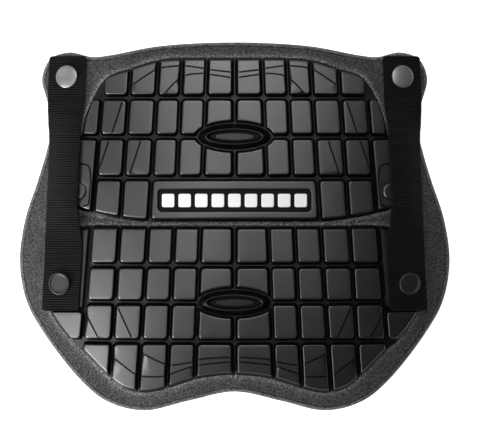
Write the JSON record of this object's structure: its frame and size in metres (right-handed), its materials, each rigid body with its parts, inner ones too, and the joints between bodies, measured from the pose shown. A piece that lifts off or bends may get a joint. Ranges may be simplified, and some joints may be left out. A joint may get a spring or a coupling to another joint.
{
  "type": "chest protector",
  "caption": "Curved felt-faced chest pad with moulded plates of raised tiles, a plain bar inlay, ribbed webbing side straps and metal snaps.",
  "frame": {"origin": "on the surface under the middle of the part's box; the protector lies on its back", "axes": "+X towards the picture's right, +Y towards the collar, +Z out of the front face"},
  "size_m": [0.28, 0.2386, 0.0439],
  "materials": {
    "felt": "speckled grey felt, matt",
    "plate": "satin moulded",
    "webbing": "cross-ribbed, matt",
    "inlay": "satin white",
    "silver": "satin",
    "gunmetal": "dark satin"
  },
  "bodies": {
    "root": {"foam_backing": "felt", "upper_plate": "plate", "lower_plate": "plate", "strap_left": "webbing", "strap_right": "webbing", "badge_bar_1": "inlay", "badge_bar_2": "inlay", "badge_bar_3": "inlay", "badge_bar_4": "inlay", "badge_bar_5": "inlay", "badge_bar_6": "inlay", "badge_bar_7": "inlay", "badge_bar_8": "inlay", "badge_bar_9": "inlay", "snap_cap_upper_left": "silver", "snap_cap_upper_right": "silver", "snap_cap_lower_left": "gunmetal", "snap_cap_lower_right": "gunmetal", "snap_post_upper_left": "gunmetal", "snap_post_upper_right": "gunmetal", "snap_post_lower_left": "gunmetal", "snap_post_lower_right": "gunmetal"}
  },
  "joints": []
}
